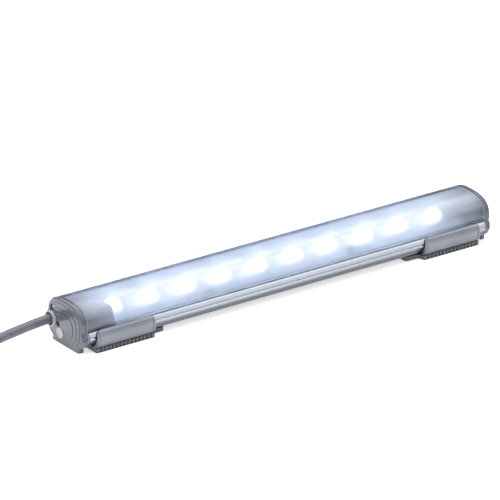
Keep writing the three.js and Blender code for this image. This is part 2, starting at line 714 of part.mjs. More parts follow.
function buildLamp() {
  const lamp = new THREE.Group();
  lamp.name = 'led_strip_batten';
  lamp.add(buildRail(), buildCover(), buildBoard());
  BOARD_SCREW_X.forEach((x, i) => lamp.add(buildBoardScrew(`board_screw_${i + 1}`, x)));
  for (let i = 0; i < LED_COUNT; i += 1) {
    const x = LED_ROW_MIDDLE + LED_PITCH * (i - (LED_COUNT - 1) / 2);
    const label = String(i + 1).padStart(2, '0');
    lamp.add(buildChip(`led_chip_${label}`, x), buildLens(`led_lens_${label}`, x));
  }
  for (let i = 0; i < LED_COUNT / 2; i += 1) {
    lamp.add(buildResistor(`resistor_${i + 1}`, LED_ROW_MIDDLE + LED_PITCH * (2 * i - 4)));
  }
  lamp.add(buildDriverChip('driver_chip_1', LED_ROW_MIDDLE - 2 * LED_PITCH));
  lamp.add(buildDriverChip('driver_chip_2', LED_ROW_MIDDLE + 2 * LED_PITCH));
  lamp.add(buildTerminalBlock(), buildTerminalHood());
  lamp.add(buildLead('lead_brown', GLAND_X * -1 - 1.2, TERMINAL_HOLES_Y[0], brownPvc));
  lamp.add(buildLead('lead_blue', GLAND_X * -1 + 1.2, TERMINAL_HOLES_Y[1], bluePvc));
  lamp.add(buildEnd(-1, 'cable', true), buildEnd(1, 'far', false));
  lamp.add(buildClip('clip_cable', -CLIP_CENTRE, 0), buildClip('clip_far', CLIP_CENTRE, Math.PI));
  lamp.add(meshOf('cable_run', cord(CABLE_RUN, CABLE_RADIUS, 14, 12), cablePvc));
  lamp.add(buildHank(), meshOf('cable_tail', cord(CABLE_TAIL, CABLE_RADIUS, 6, 12), cablePvc), buildPlug());
  return lamp;
}

export default buildLamp();
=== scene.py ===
# %% [markdown]
# # A sealed LED bar light
# The light is a frosted dome on an aluminium rail, closed by two moulded caps and held by two
# sliding clips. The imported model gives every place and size. This lesson dresses it: it makes the
# camera and the cable first, then the round and smooth pieces, then one finish for each material.

# %% Load the fixed frame
import math

import bmesh
import bpy
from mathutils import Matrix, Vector


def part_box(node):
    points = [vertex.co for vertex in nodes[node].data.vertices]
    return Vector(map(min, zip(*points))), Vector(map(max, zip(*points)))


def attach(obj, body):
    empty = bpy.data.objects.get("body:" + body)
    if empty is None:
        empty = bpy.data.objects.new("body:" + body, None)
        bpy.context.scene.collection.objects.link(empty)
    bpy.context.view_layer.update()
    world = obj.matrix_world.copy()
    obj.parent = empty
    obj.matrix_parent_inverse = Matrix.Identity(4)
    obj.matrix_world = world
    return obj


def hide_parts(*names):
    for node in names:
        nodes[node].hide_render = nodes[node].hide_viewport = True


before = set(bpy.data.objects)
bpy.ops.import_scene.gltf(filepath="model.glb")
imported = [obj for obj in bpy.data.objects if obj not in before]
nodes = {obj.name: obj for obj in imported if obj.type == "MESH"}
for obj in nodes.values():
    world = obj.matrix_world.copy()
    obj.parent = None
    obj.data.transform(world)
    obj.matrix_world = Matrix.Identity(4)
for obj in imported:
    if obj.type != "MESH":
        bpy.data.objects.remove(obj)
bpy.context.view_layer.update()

MM = 0.001

# %% [markdown]
# ## Camera
# A product picture of a slim bar is taken from far away with a long lens, so its two ends keep
# nearly the same size. The camera stands to the left of square and looks down on the dome. It is
# aimed by a direction and a distance, which is easier to adjust than a place and three angles.

# %% Camera far away, with a long lens
AZIMUTH = math.radians(-35.0)
ELEVATION = math.radians(23.5)
DISTANCE = 4.0
AIM = Vector((-16.3 * MM, 0, 28.5 * MM))
LENS = 483.7

back = Vector((
    math.sin(AZIMUTH) * math.cos(ELEVATION),
    -math.cos(AZIMUTH) * math.cos(ELEVATION),
    math.sin(ELEVATION),
))
camera_data = bpy.data.cameras.new("camera")
camera_data.lens = LENS
camera_data.clip_start = 0.1
camera_data.clip_end = 50
camera = bpy.data.objects.new("camera", camera_data)
camera.location = AIM + back * DISTANCE
camera.rotation_mode = "QUATERNION"
camera.rotation_quaternion = (-back).to_track_quat("-Z", "Y")
bpy.context.scene.collection.objects.link(camera)
bpy.context.scene.camera = camera
print("camera at", [round(v, 3) for v in camera.location])

# %% [markdown]
# ## Supply cable
# A round PVC cable leaves the gland and sinks to the surface under its own weight. The length that
# isn't needed is folded into a long hank in line with the lamp, and ends in a round connector
# inside the hank. A curve with a round bevel is the plain way to make it, because a curve keeps its
# thickness through every bend. The free stretches are listed points.
#
# In the hank the turns lie two beside two. Each turn has to change its place once a round without
# running into the others, so in the end bend the whole bundle twists by a quarter turn, as the
# strands of a rope do. That keeps the turns about one diameter apart.

# %% Cable route
CABLE_RADIUS = 3.0 * MM
RUN = [
    (-151.8, 11.7, 14.3), (-156.5, 11.7, 14.05), (-162.0, 11.7, 13.6), (-167.5, 11.7, 13.0),
    (-173.4, 11.7, 12.3), (-179.0, 11.7, 11.6), (-185.0, 11.7, 10.8), (-190.5, 11.7, 9.75),
    (-196.0, 11.7, 8.6), (-201.0, 11.7, 7.3), (-206.0, 11.7, 6.0), (-211.0, 11.7, 4.85),
    (-215.8, 11.7, 4.0), (-221.0, 11.7, 3.4), (-228.0, 11.7, 3.15),
]
TAIL = [
    (-290.2, -29.7, 3.2), (-285.6, -27.8, 3.6), (-281.7, -24.8, 4.3), (-279.0, -21.3, 5.1),
    (-276.3, -17.8, 6.0), (-272.4, -14.9, 6.7), (-267.9, -12.9, 7.2), (-265.5, -12.42, 7.28),
    (-263.3, -12.35, 7.3),
]
HANK_RUN = 60.0
BEND_RADIUS = 21.0
SLOT = 4.32
HANK_MIDDLE = 6.16
TURNS = 3.5
STEPS_PER_TURN = 48
hank_low, hank_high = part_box("cable_hank")
hank_middle = (hank_low + hank_high) / 2 / MM


def hank_place(share, radius):
    """A place on the long loop after a share of one round, as (x, y)."""
    straight = HANK_RUN / (2 * HANK_RUN + 2 * math.pi * BEND_RADIUS)
    half, part = divmod(2 * share, 1)
    side = 1 if half == 0 else -1
    start = hank_middle.x + side * HANK_RUN / 2
    run = min(1, part / (2 * straight))
    bend = math.pi * max(0, (part - 2 * straight) / (1 - 2 * straight))
    x = start - side * (HANK_RUN * run + radius * math.sin(bend))
    return x, hank_middle.y + side * radius * math.cos(bend)


def hank_points():
    """The turns: outer low, outer high, inner high and inner low."""
    points = []
    last_bend = 0.74
    for i in range(int(TURNS * STEPS_PER_TURN) + 1):
        count, share = divmod(i / STEPS_PER_TURN, 1)
        part = max(0, (share - last_bend) / (1 - last_bend))
        ease = part * part * (3 - 2 * part)
        angle = math.radians(-45 + 90 * (count + ease))
        lift = 1.3 * math.sin(math.pi * ease)
        x, y = hank_place(share, BEND_RADIUS + SLOT * math.cos(angle))
        points.append((x, y, HANK_MIDDLE + lift + SLOT * math.sin(angle)))
    return points


print("hank points:", len(hank_points()), "first and last:", hank_points()[0], hank_points()[-1])

# %% Cable curve
def spline_length(points):
    return sum((Vector(b) - Vector(a)).length for a, b in zip(points, points[1:]))


def cable_curve(name, points, radius):
    """A round cable through points in millimetres."""
    data = bpy.data.curves.new(name, "CURVE")
    data.dimensions = "3D"
    data.bevel_depth = 1.0
    data.bevel_resolution = 6
    data.resolution_u = 3
    data.use_fill_caps = True
    spline = data.splines.new("NURBS")
    spline.points.add(len(points) - 1)
    for point, place in zip(spline.points, points):
        point.co = (*(v * MM for v in place), 1)
        point.radius = radius
    spline.order_u = 4
    spline.use_endpoint_u = True
    made = bpy.data.objects.new(name, data)
    bpy.context.scene.collection.objects.link(made)
    return made


route = RUN + hank_points() + TAIL
print("route length in mm:", round(spline_length(route), 1))
cable = cable_curve("supply_cable", route, CABLE_RADIUS)

# %% [markdown]
# ## Helpers for meshes
# The round and drawn pieces are all one of two kinds. A turned piece is a profile swept round a
# line, and a lofted piece is a row of equal outlines joined into a skin. Both come out closed, with
# their faces turned out. All faces are shaded smooth, and the edges that bend by more than a given
# angle are marked, so that they stay sharp.

# %% Skins, lofts and turned pieces
def piece(name, points, faces, smooth_angle=35):
    """A mesh object from points in millimetres, with smooth shading below an angle in degrees."""
    data = bpy.data.meshes.new(name)
    data.from_pydata([tuple(v * MM for v in p) for p in points], [], faces)
    made = bpy.data.objects.new(name, data)
    bpy.context.scene.collection.objects.link(made)
    tidy(made, smooth_angle)
    return made


def tidy(made, smooth_angle=35):
    """Merges doubled points, turns the faces out and marks the sharp edges."""
    work = bmesh.new()
    work.from_mesh(made.data)
    bmesh.ops.remove_doubles(work, verts=work.verts, dist=1e-6)
    bmesh.ops.recalc_face_normals(work, faces=work.faces)
    for face in work.faces:
        face.smooth = True
    limit = math.radians(smooth_angle)
    for edge in work.edges:
        edge.smooth = edge.calc_face_angle(0) < limit
    work.to_mesh(made.data)
    work.free()


def loft(name, rings, smooth_angle=35, closed=False):
    """A skin through rings of equal counts, capped at both ends or joined into a loop."""
    count = len(rings[0])
    points = [p for ring in rings for p in ring]
    pairs = [(k, k + 1) for k in range(len(rings) - 1)]
    if closed:
        pairs.append((len(rings) - 1, 0))
    faces = []
    for a, b in pairs:
        for i in range(count):
            j = (i + 1) % count
            faces.append((a * count + i, a * count + j, b * count + j, b * count + i))
    if not closed:
        faces.append(tuple(range(count))[::-1])
        faces.append(tuple((len(rings) - 1) * count + i for i in range(count)))
    return piece(name, points, faces, smooth_angle)


def turned(name, profile, centre, axis="X", sides=48, smooth_angle=35, ripple=None):
    """A profile of (radius, height) turned about a line through centre.

    ripple(angle, radius, height) changes the radii.
    """
    points = []
    rings = []
    for radius, height in profile:
        ring = []
        for i in range(1 if radius == 0 else sides):
            angle = 2 * math.pi * i / sides
            r = ripple(angle, radius, height) if ripple else radius
            u, v = r * math.cos(angle), r * math.sin(angle)
            offset = (height, u, v) if axis == "X" else (u, v, height)
            ring.append(len(points))
            points.append(tuple(c + o for c, o in zip(centre, offset)))
        rings.append(ring)
    faces = []
    for low, high in zip(rings, rings[1:]):
        for i in range(sides):
            j = (i + 1) % sides
            corners = [low[i % len(low)], low[j % len(low)], high[j % len(high)], high[i % len(high)]]
            corners = list(dict.fromkeys(corners))
            if len(corners) > 2:
                faces.append(tuple(corners))
    return piece(name, points, faces, smooth_angle)


def arc(y, z, radius, start, end, steps=6):
    """Points of an arc in the cross-section, with angles in degrees from +Y toward +Z."""
    angles = [math.radians(start + (end - start) * i / steps) for i in range(steps + 1)]
    return [(y + radius * math.cos(a), z + radius * math.sin(a)) for a in angles]


def both_sides(half):
    """The whole symmetric outline from its right half, which starts at the bottom middle."""
    return half + [(-y, z) for y, z in reversed(half) if y > 0]


print("helpers ready")

# %% [markdown]
# ## The lamp's cross-section
# Cover, rail and caps share one outline: a flattened dome over two fine ridges and a slanted
# underside. The dome is a superellipse, rounder than a box and fuller than an ellipse, so one power
# sets its whole character. Each ridge is a short arc, because an extruded edge is never quite
# sharp.

# %% Outline of dome and ledge
rail_low, rail_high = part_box("rail")
cover_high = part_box("diffuser_cover")[1]
SEAM_HALF, SEAM_Z = 18.0, rail_high.z / MM
DOME_HALF, DOME_Z, DOME_TOP = cover_high.y / MM, 15.5, cover_high.z / MM
DOME_POWER = 2.7
RIDGE_HALF = rail_high.y / MM
RAIL_BOTTOM = rail_low.z / MM
RAIL_END = rail_high.x / MM
FOOT_HALF = 14.05
COVER_WALL = 1.8
DOME_STEPS = 36


def dome_half(inset, steps=DOME_STEPS):
    """From the dome's widest line to its top, inset all round."""
    points = []
    for i in range(steps + 1):
        angle = 0.5 * math.pi * i / steps
        y = (DOME_HALF - inset) * math.cos(angle) ** (2 / DOME_POWER) if i < steps else 0.0
        z = DOME_Z + (DOME_TOP - DOME_Z - inset) * math.sin(angle) ** (2 / DOME_POWER)
        points.append((y, z))
    return points


def ledge_half(inset=0.0):
    """The slanted underside, two rounded ridges with a groove between, and the step to the seam."""
    ridge = 0.5
    top = RIDGE_HALF - ridge
    outline = [(15.6, 3.6), (16.5, 4.25), (17.4, 5.0), (18.3, 6.45), (19.0, 7.9), (19.25, 8.5)]
    outline += arc(top, 9.25, ridge, -40, 60)
    outline += arc(top + 0.33, 10.2, 0.42, 230, 130)
    outline += arc(top, 11.15, ridge, -60, 50)
    outline += [(19.1, 12.3), (18.5, 13.1), (SEAM_HALF, SEAM_Z)]
    return [(y - inset, z) for y, z in outline]


def along(outline, x):
    """A ring of the outline at one place along the lamp."""
    return [(x, y, z) for y, z in outline]


print("dome in mm:", DOME_HALF, DOME_TOP, "seam at", SEAM_Z)

# %% [markdown]
# ## Rail and cover
# The rail is an aluminium extrusion: one outline pushed straight through a die, with a chamber for
# wires under the web that carries the circuit board. The cover is extruded polycarbonate, frosted
# on its inside so that the outside stays easy to wipe. A straight loft from end to end is the same
# process as the extruder's, and the cover's two faces get two finishes.

# %% Rail
def rail_outline():
    wall, web = 17.3, 10.9
    foot = [(0, RAIL_BOTTOM), (FOOT_HALF, RAIL_BOTTOM)]
    return both_sides(foot + ledge_half() + [(wall, SEAM_Z), (wall, web), (0, web)])


def chamber_outline():
    return both_sides([(0, 4.4), (13.2, 4.4), (15.6, 6.2), (16.9, 8.4), (16.9, 9.4), (0, 9.4)])


rail = loft("rail_extrusion", [along(rail_outline(), x) for x in (-RAIL_END, RAIL_END)])
chamber = loft("chamber", [along(chamber_outline(), x) for x in (-RAIL_END - 1, RAIL_END + 1)])


def cut(made, cutter):
    """Takes the cutter's shape out of the piece and removes the cutter."""
    boolean = made.modifiers.new("cut", "BOOLEAN")
    boolean.operation = "DIFFERENCE"
    boolean.solver = "EXACT"
    boolean.object = cutter
    bake_modifiers(made)
    bpy.data.objects.remove(cutter)


def bake_modifiers(made):
    """Applies the piece's modifiers to its mesh."""
    evaluated = made.evaluated_get(bpy.context.evaluated_depsgraph_get())
    data = bpy.data.meshes.new_from_object(evaluated)
    made.modifiers.clear()
    made.data = data


cut(rail, chamber)
tidy(rail)
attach(rail, "lamp")
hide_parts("rail")
print("rail faces:", len(rail.data.polygons))


# %% Frosted cover
def cover_outline():
    outer = [(SEAM_HALF, SEAM_Z + 0.3), (18.45, 14.2), (18.7, 14.6), (18.85, 15.05)] + dome_half(0)
    inner = dome_half(COVER_WALL)[::-1]
    lip = [(15.9, 14.6), (15.9, 12.9), (17.0, 12.9), (17.0, SEAM_Z + 0.3)]
    right = outer[:-1]
    left = [(-y, z) for y, z in reversed(right)]
    inside_right = inner[1:] + lip
    inside_left = [(-y, z) for y, z in reversed(inside_right)]
    return right + [outer[-1]] + left + inside_left + [inner[0]] + inside_right


cover = loft("frosted_cover", [along(cover_outline(), x) for x in (-RAIL_END, 0, RAIL_END)])
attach(cover, "lamp")
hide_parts("diffuser_cover")
print("cover faces:", len(cover.data.polygons))

# %% [markdown]
# ## End caps
# Each cap is one moulding: a collar with two fine grooves, a rounded edge and an end face that
# rises in three low steps. The near cap also has a boss for the cable gland. Lofting rings along
# the lamp draws the collar and its rounding in one go. The steps, the boss and the recesses are
# joined and cut by booleans, because that is how the mould's inserts make them.

# %% Collar and end face
SIDE_PLANE = 148.8
COLLAR_INNER = 145.1
EDGE_ROUND = 1.5
GROOVES = [145.8, 146.7]
GROOVE_WIDTH = 0.4
GROOVE_DEPTH = 0.25
TERRACES = 3
TERRACE_STEP = 0.4
GLAND = (-11.7, 14.3)
VENT = (-3.4, 7.8)
VENT_RADIUS = 3.4
SCREWS = [(-12.3, 20.6, 2.1, 1.7), (-5.5, 12.75, 1.7, 1.15)]
HEAD_SEAT = 147.4


def cap_half(inset, bottom=0.0):
    foot = [(0, bottom), (FOOT_HALF - inset, bottom), (FOOT_HALF - inset, 3.1)]
    return foot + ledge_half(inset) + dome_half(inset)


def end_ring(sign, outline, distance):
    """A ring of an outline drawn as seen from outside the end, at a distance from the middle."""
    return [(sign * distance, sign * u, z) for u, z in outline]


def collar(sign, name):
    levels = [(0, COLLAR_INNER)]
    for at in GROOVES:
        end = at + GROOVE_WIDTH
        levels += [(0, at), (GROOVE_DEPTH, at + 0.1), (GROOVE_DEPTH, end - 0.1), (0, end)]
    for i in range(7):
        angle = 0.5 * math.pi * i / 6
        inward, back = 1 - math.cos(angle), 1 - math.sin(angle)
        levels.append((EDGE_ROUND * inward, SIDE_PLANE - EDGE_ROUND * back))
    rings = [end_ring(sign, both_sides(cap_half(inset)), distance) for inset, distance in levels]
    return loft(name, rings, 28)


def terrace_outline(level):
    inset = 2.9 + 2.7 * level
    half = [(0, 3.4 + inset / 3), (15.6 - inset, 3.4 + inset / 3), (18.2 - inset, 9.0)]
    half += dome_half(inset)
    return [(u - 0.5 * level, z - 0.4 * level) for u, z in both_sides(half)]


def spigot_outline(inset):
    corner = [(0, 15.2 + inset), (15.2 - inset, 15.2 + inset)]
    dome = [(y, z) for y, z in dome_half(2.5 + inset) if z > 16.4]
    return both_sides(corner + dome)


def end_prism(sign, name, outline, start, end, rim=0.0):
    """A straight piece out of the end face, with its outer rim bevelled."""
    rings = [end_ring(sign, outline, start)]
    if rim:
        count = len(outline)
        middle = Vector((sum(u for u, z in outline) / count, sum(z for u, z in outline) / count))
        shrunk = []
        for u, z in outline:
            inward = (middle - Vector((u, z))).normalized() * rim
            shrunk.append((u + inward.x, z + inward.y))
        rings += [end_ring(sign, outline, end - rim), end_ring(sign, shrunk, end)]
    else:
        rings.append(end_ring(sign, outline, end))
    return loft(name, rings)


def end_turned(sign, name, profile, place, sides=48, ripple=None):
    """A turned piece on the end face: heights are distances from the lamp's middle."""
    centre = (0, sign * place[0], place[1])
    return turned(name, [(r, sign * h) for r, h in profile], centre, "X", sides, 32, ripple)


def join(made, other):
    """Adds another closed piece to this one and removes the other."""
    boolean = made.modifiers.new("join", "BOOLEAN")
    boolean.operation = "UNION"
    boolean.solver = "EXACT"
    boolean.object = other
    bake_modifiers(made)
    bpy.data.objects.remove(other)


def end_cap(sign, node, with_gland):
    cap = collar(sign, "moulded_" + node)
    for level in range(TERRACES):
        top = SIDE_PLANE + TERRACE_STEP * (level + 1)
        foot = SIDE_PLANE - 0.9 + 0.07 * level
        join(cap, end_prism(sign, "step", terrace_outline(level), foot, top, 0.22))
    if with_gland:
        boss = [(0, 147.9), (6.4, 147.9), (6.4, 149.55), (6.1, 149.9), (0, 149.9)]
        join(cap, end_turned(sign, "boss", boss, GLAND))
    join(cap, end_prism(sign, "spigot", spigot_outline(0), 138.0, COLLAR_INNER + 1))
    cut(cap, end_prism(sign, "pocket", spigot_outline(1.5), 137.0, 146.8))
    if with_gland:
        cut(cap, end_turned(sign, "bore", [(0, 146.7), (4.7, 146.7), (4.7, 155), (0, 155)], GLAND))
        cut(cap, end_turned(sign, "wire_way", [(0, 137), (3.4, 137), (3.4, 147.2), (0, 147.2)], GLAND))
    vent_seat = [(0, 147.6), (VENT_RADIUS + 0.3, 147.6), (VENT_RADIUS + 0.3, 155), (0, 155)]
    cut(cap, end_turned(sign, "vent_seat", vent_seat, VENT))
    for u, z, recess, head in SCREWS:
        well = [(0, HEAD_SEAT), (recess, HEAD_SEAT), (recess, 155), (0, 155)]
        cut(cap, end_turned(sign, "recess", well, (u, z), 32))
        shank = [(0, 144.6), (1.3, 144.6), (1.3, 148), (0, 148)]
        cut(cap, end_turned(sign, "shank_way", shank, (u, z), 24))
    tidy(cap, 28)
    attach(cap, "lamp")
    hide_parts(node)
    print(cap.name, "faces:", len(cap.data.polygons))
    return cap


caps = [end_cap(-1, "end_cap_cable", True), end_cap(1, "end_cap_far", False)]

# %% [markdown]
# ## What sits in the end faces
# The gland's sleeve, its rubber seal, the round vent plug and the small screws are all turned
# pieces. Each gets rounded lips, because the light catches a lip before anything else on a small
# part. The screws' cross slots are cut out of their heads.

# %% Gland, vent plugs and screws
def stand_for(made, node, body="lamp"):
    """The made piece rides on a body and replaces a node, which is hidden."""
    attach(made, body)
    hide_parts(node)
    return made


LIP = 0.3
sleeve = [(3.95, 147.0), (4.4, 147.0), (4.4, 150.2), (4.7, 150.2), (4.7, 151.0)]
sleeve += [(4.7 - LIP + r, h) for r, h in arc(0, 151.9, LIP, 0, 90, 5)]
sleeve += [(4.1, 152.15), (3.95, 152.0), (3.95, 147.0)]
gland = end_turned(-1, "gland_sleeve", sleeve, GLAND, 64)
stand_for(gland, "gland_body")
seal_profile = [(3.15, 147.2), (3.7, 147.2), (3.7, 151.2), (3.55, 151.5), (3.3, 151.5),
                (3.15, 151.3), (3.15, 147.2)]
seal = end_turned(-1, "rubber_seal", seal_profile, GLAND, 64)
stand_for(seal, "gland_seal")


def vent_plug(sign, node):
    r = VENT_RADIUS
    profile = [(0, 147.9), (r - 0.2, 147.9), (r, 148.1)]
    for i in range(7):
        angle = 0.26 * i
        profile.append((r - 0.4 + 0.4 * math.cos(angle), 150.2 + 0.4 * math.sin(angle)))
    profile += [(r - 0.75, 150.55), (r - 1.0, 150.35), (r - 1.2, 150.25), (r - 2.2, 150.3)]
    profile.append((0, 150.32))
    return stand_for(end_turned(sign, "moulded_" + node, profile, VENT, 56), node)


def cap_screw(sign, node, u, z, head):
    seat = HEAD_SEAT + 0.2
    profile = [(0, 144.9), (0.7, 144.9), (1.0, 145.2)]
    profile += [(1.0, seat), (head - 0.1, seat), (head, seat + 0.1)]
    profile += [(head * math.cos(0.25 * i), seat + 0.6 + 0.8 * math.sin(0.25 * i)) for i in range(6)]
    profile.append((0, seat + 1.4))
    made = end_turned(sign, "turned_" + node, profile, (u, z), 40)
    for turn in (0, 1):
        wide, tall = (head * 0.62, 0.22) if turn else (0.22, head * 0.62)
        corners = ((-1, -1), (1, -1), (1, 1), (-1, 1))
        slot = [(u + across * wide, z + up * tall) for across, up in corners]
        cut(made, end_prism(sign, "cross", slot, seat + 0.6, seat + 3))
    tidy(made)
    return stand_for(made, node)


vents = [vent_plug(-1, "vent_plug_cable"), vent_plug(1, "vent_plug_far")]
cap_screws = []
for sign, label in ((-1, "cable"), (1, "far")):
    for number, (u, z, recess, head) in enumerate(SCREWS, 1):
        cap_screws.append(cap_screw(sign, f"cap_screw_{label}_{number}", u, z, head))
print("cap screws:", len(cap_screws))

# %% [markdown]
# ## Sliding clips
# A clip is one injection moulding: a base plate, two hooks that grip the rail's ridges, and a low
# tab with a slot for a screw. Its hooks bulge a little and have a bead along the top and at both
# ends, so they catch light in long bands. The section is lofted along the lamp, a rounded side
# outline trims the hooks' corners, and a bevel softens every sharp edge, as a mould does.

# %% Clip sections
CLIP_HALF = 20.5
CLIP_TOP = 14.9
CLIP_CORNER = 4.5
TAB_END = 30.9
TAB_HALF = 14.8
PLATE_HALF = 19.6
PLATE_TOP = 2.5
TEETH = 14


def quadratic(start, control, end, steps=10):
    """Points of a curve that leaves start and reaches end, drawn toward a control point."""
    points = []
    for i in range(steps + 1):
        t = i / steps
        a, b, c = (1 - t) ** 2, 2 * t * (1 - t), t * t
        points.append(tuple(a * s + b * k + c * e for s, k, e in zip(start, control, end)))
    return points


BEAD = 0.35


def hook_face(sunk, steps=12):
    """The hook's bulging outer face, from its foot to the groove under its top bead."""
    low, high = 4.1, 13.0
    face = []
    for i in range(steps + 1):
        z = low + (high - low) * i / steps
        face.append((19.95 + 1.1 * math.sin(math.pi * (z - low) / (high - low)) - sunk, z))
    return face


def clip_section(sunk=0.0):
    half = [(0, 0), (PLATE_HALF, 0), (PLATE_HALF, 2.7), (18.6, 2.9), (18.6, 3.8)]
    half += hook_face(sunk)
    half += [(19.8, 13.1), (19.8, 13.35), (20.35 + BEAD - sunk, 13.5), (20.4 + BEAD - sunk, 14.2)]
    half += [(20.2 + BEAD - sunk, 14.75), (19.95, CLIP_TOP), (19.5, CLIP_TOP)]
    half += [(19.2, 14.6), (19.1, 14.3), (19.0, 13.4), (20.1, 11.7), (20.1, 8.9), (19.4, 7.8)]
    half += [(17.8, 4.7), (15.9, 3.2), (14.0, PLATE_TOP), (0, PLATE_TOP)]
    return both_sides(half)


def clip_side():
    """Side outline of the hooks, with large round upper corners."""
    shoulder = CLIP_TOP - CLIP_CORNER
    right = [(CLIP_HALF, -1)] + quadratic((CLIP_HALF, shoulder), (CLIP_HALF, CLIP_TOP + 0.1),
                                          (CLIP_HALF - CLIP_CORNER, CLIP_TOP + 0.1))
    return right + [(-x, z) for x, z in reversed(right)]


def clip_tab():
    """Plan of the tab, drawn toward +X."""
    corner, flare = 2.5, 2.2
    half = [(CLIP_HALF - 2, PLATE_HALF - 1), (CLIP_HALF, PLATE_HALF - 1)]
    half += quadratic(half[-1], (CLIP_HALF + 0.3, TAB_HALF), (CLIP_HALF + flare, TAB_HALF), 6)[1:]
    half += quadratic((TAB_END - corner, TAB_HALF), (TAB_END, TAB_HALF),
                      (TAB_END, TAB_HALF - corner), 6)
    return half + [(x, -y) for x, y in reversed(half)]


def upright(name, plan, low, high):
    """A straight piece of a plan outline between two heights."""
    return loft(name, [[(x, y, z) for x, y in plan] for z in (low, high)])


def slot_plan():
    middle, radius, reach = CLIP_HALF + 5.2, 2.25, 4.0
    ends = arc(middle, reach, radius, 0, 180, 12) + arc(middle, -reach, radius, 180, 360, 12)
    return ends


print("clip outline points:", len(clip_section()), len(clip_side()), len(clip_tab()))


# %% Clips
def rectangle(x0, y0, x1, y1):
    return [(x0, y0), (x1, y0), (x1, y1), (x0, y1)]


def moulded_clip(node, body, middle, facing):
    """facing is 1 where the tab points to +X and -1 where the clip is turned half round."""
    inner, outer = CLIP_HALF - 1.6, CLIP_HALF - 1.2
    marks = [(-CLIP_HALF, 0), (-outer, 0), (-outer + 0.05, 0.4), (-inner - 0.05, 0.4), (-inner, 0)]
    marks += [(-x, sunk) for x, sunk in reversed(marks)]
    clip = loft("moulded_" + node, [along(clip_section(sunk), x) for x, sunk in marks])
    side = loft("side", [[(x, y, z) for x, z in clip_side()] for y in (-30, 30)])
    trim = clip.modifiers.new("trim", "BOOLEAN")
    trim.operation = "INTERSECT"
    trim.object = side
    bake_modifiers(clip)
    bpy.data.objects.remove(side)
    join(clip, upright("tab", clip_tab(), 0, PLATE_TOP))
    cut(clip, upright("slot", slot_plan(), -1, PLATE_TOP + 1))
    pitch = (2 * CLIP_HALF - 3) / TEETH
    for i in range(TEETH):
        at = -CLIP_HALF + 1.5 + pitch * (i + 0.5)
        for y0, y1 in ((-PLATE_HALF - 1, -PLATE_HALF + 0.7), (PLATE_HALF - 0.7, PLATE_HALF + 1)):
            cut(clip, upright("tooth", rectangle(at - 0.6, y0, at + 0.6, y1), 0.5, 3.1))
    for vertex in clip.data.vertices:
        vertex.co.x, vertex.co.y = facing * vertex.co.x + middle * MM, facing * vertex.co.y
    soften = clip.modifiers.new("soften", "BEVEL")
    soften.width = 0.28 * MM
    soften.segments = 3
    soften.limit_method = "ANGLE"
    soften.angle_limit = math.radians(35)
    soften.harden_normals = True
    tidy(clip, 35)
    bake_modifiers(clip)
    return stand_for(clip, node, body)


CLIP_CENTRE = 118.95
clips = [
    moulded_clip("clip_cable", "clip_cable_end", -CLIP_CENTRE, 1),
    moulded_clip("clip_far", "clip_far_end", CLIP_CENTRE, -1),
]
print("clip faces:", [len(c.data.polygons) for c in clips])

# %% [markdown]
# ## Light engine
# Ten LEDs sit in a row on a white circuit board, each under a clear silicone dome. Through the
# frosted cover only their glow can be told apart, so the domes are the lamp's real light sources
# here. The rest of the board keeps its model shapes and only gets finishes.

# %% LED domes
def led_dome(node):
    low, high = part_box(node)
    middle, foot = (low + high) / 2 / MM, low.z / MM
    radius, height = (high.x - low.x) / 2 / MM, (high.z - low.z) / MM
    profile = [(0, 1.4), (3.2, 1.4), (3.2, 0), (radius - 0.2, 0), (radius, 0.2), (radius, 1.0)]
    for i in range(1, 13):
        angle = 0.5 * math.pi * i / 12
        reach = radius * math.cos(angle) if i < 12 else 0
        profile.append((reach, 1.0 + (height - 1.0) * math.sin(angle)))
    made = turned("dome_" + node, profile, (middle.x, middle.y, foot), "Z", 40, 40)
    return stand_for(made, node)


led_names = sorted(name for name in nodes if name.startswith("led_lens_"))
domes = [led_dome(node) for node in led_names]
print("LED domes:", len(domes))

# %% [markdown]
# ## Terminal hood
# A moulded hood covers the wiring at the cable end. Its front half reaches further along the board
# than its back half, so its end is stepped. It is drawn as three lofted bodies joined into one and
# hollowed, because each has its own straight outline.

# %% Stepped hood
HOOD_START, HOOD_STEP, HOOD_END = -137.4, -129.6, -123.4
HOOD_FOOT = 12.9


def hood_body(x0, x1, outline):
    return loft("hood", [along(outline, x) for x in (x0, x1)])


hood_front = [(-15.0, HOOD_FOOT), (0.5, HOOD_FOOT), (0.5, 24.8), (-11.0, 24.3), (-12.4, 23.6),
              (-13.4, 21.6), (-14.4, 17.5)]
hood_back = [(-15.0, HOOD_FOOT), (15.0, HOOD_FOOT), (14.4, 17.5), (13.4, 21.0), (12.0, 23.0),
             (10.4, 24.0), (0.5, 24.8), (-11.0, 24.3), (-12.4, 23.6), (-13.4, 21.6), (-14.4, 17.5)]
hood_low = [(-1.0, HOOD_FOOT), (15.0, HOOD_FOOT), (14.4, 17.5), (13.2, 20.0), (12.2, 20.6),
            (-1.0, 20.9)]
hood_hollow = [(-13.4, 12.0), (13.4, 12.0), (12.8, 17.5), (11.2, 19.5), (-11.2, 19.5), (-12.8, 17.5)]
hood = hood_body(HOOD_START, HOOD_STEP, hood_back)
join(hood, hood_body(HOOD_STEP - 0.5, HOOD_END, hood_front))
join(hood, hood_body(HOOD_STEP - 0.6, HOOD_END - 1.6, hood_low))
cut(hood, hood_body(HOOD_START - 1, HOOD_END - 2.8, hood_hollow))
tidy(hood)
stand_for(hood, "terminal_hood")
print("hood faces:", len(hood.data.polygons))

# %% [markdown]
# ## Connector
# The cable ends in a round four-pin connector with a screw-on coupling nut, which turns freely. The
# grip has rings to hold and a taper where the cable enters. The nut is knurled by varying its
# radius round the turn.

# %% Round connector
PLUG = (-263.0, hank_middle.y, 7.3)


